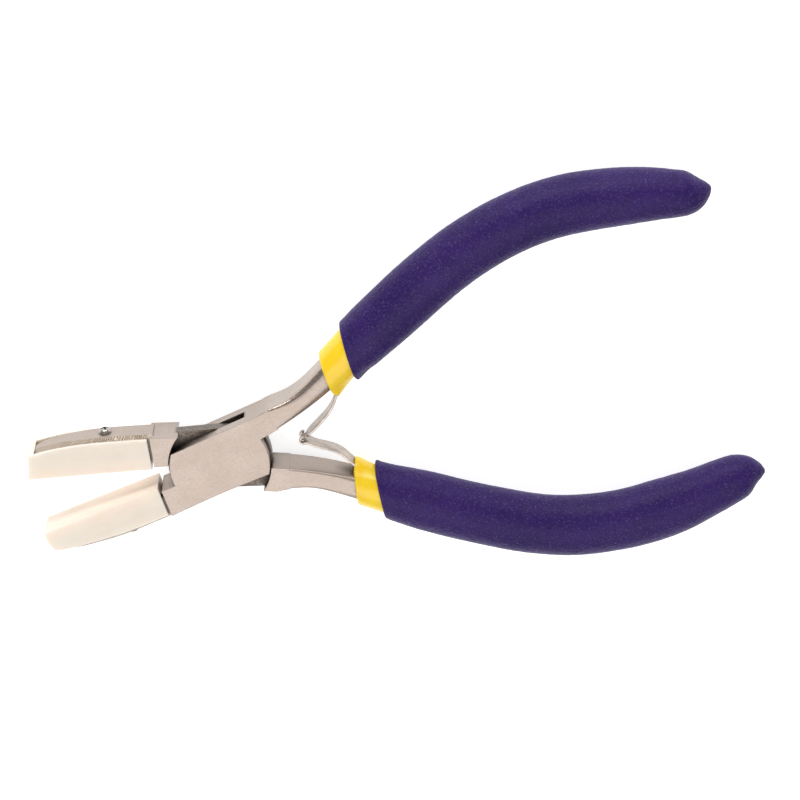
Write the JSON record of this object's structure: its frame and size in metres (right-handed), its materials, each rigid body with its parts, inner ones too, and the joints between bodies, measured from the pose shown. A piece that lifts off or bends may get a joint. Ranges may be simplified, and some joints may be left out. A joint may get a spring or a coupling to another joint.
{
  "type": "nylon jaw flat pliers",
  "caption": "Flat pliers with a box joint, replaceable nylon jaw shoes, double leaf return springs and curved two-layer dipped grips.",
  "frame": {"origin": "pivot axis at the back face of the box joint, where the tool rests on its flat side", "axes": "+X along the centre line towards the handles, +Y across the tool towards the upper handle, +Z through its thickness along the pivot axis"},
  "size_m": [0.1428, 0.0791, 0.0104],
  "materials": {
    "lever_steel": "satin ground",
    "rivet_steel": "ground flush",
    "screw_steel": "bright nickel",
    "spring_steel": "satin",
    "jaw_nylon": "translucent satin nylon",
    "inner_sleeve_yellow": "glossy dipped vinyl",
    "grip_purple": "finely textured dipped vinyl"
  },
  "bodies": {
    "box_lever_body": {"box_lever": "lever_steel", "pivot_rivet": "rivet_steel", "lower_jaw_pad": "jaw_nylon", "lower_jaw_screw": "screw_steel", "upper_inner_sleeve": "inner_sleeve_yellow", "upper_grip": "grip_purple", "upper_spring_rivet": "rivet_steel"},
    "tongue_lever_body": {"tongue_lever": "lever_steel", "upper_jaw_pad": "jaw_nylon", "upper_jaw_screw": "screw_steel", "lower_inner_sleeve": "inner_sleeve_yellow", "lower_grip": "grip_purple", "lower_spring_rivet": "rivet_steel"},
    "upper_leaf": {"upper_leaf_spring": "spring_steel"},
    "lower_leaf": {"lower_leaf_spring": "spring_steel"}
  },
  "joints": [
    {"name": "pivot", "type": "hinge", "parent": "box_lever_body", "child": "tongue_lever_body", "pos_m": [0, 0, 0.0039], "axis": [0, 0, 1], "range_deg": [-8, 18], "stiffness_Nm_per_rad": 1.6},
    {"name": "upper_leaf_flex", "type": "hinge", "parent": "box_lever_body", "child": "upper_leaf", "pos_m": [0.0253, 0.0074, 0.0039], "axis": [0, 0, 1], "range_deg": [-17.5, 8], "deforming": ["upper_leaf_spring"]},
    {"name": "lower_leaf_flex", "type": "hinge", "parent": "tongue_lever_body", "child": "lower_leaf", "pos_m": [0.0246, -0.0064, 0.0039], "axis": [0, 0, 1], "range_deg": [-7.5, 16], "deforming": ["lower_leaf_spring"]}
  ],
  "couplings": [
    {"joint": "upper_leaf_flex", "follows": "pivot", "ratio": -0.95},
    {"joint": "lower_leaf_flex", "follows": "pivot", "ratio": 0.87}
  ]
}
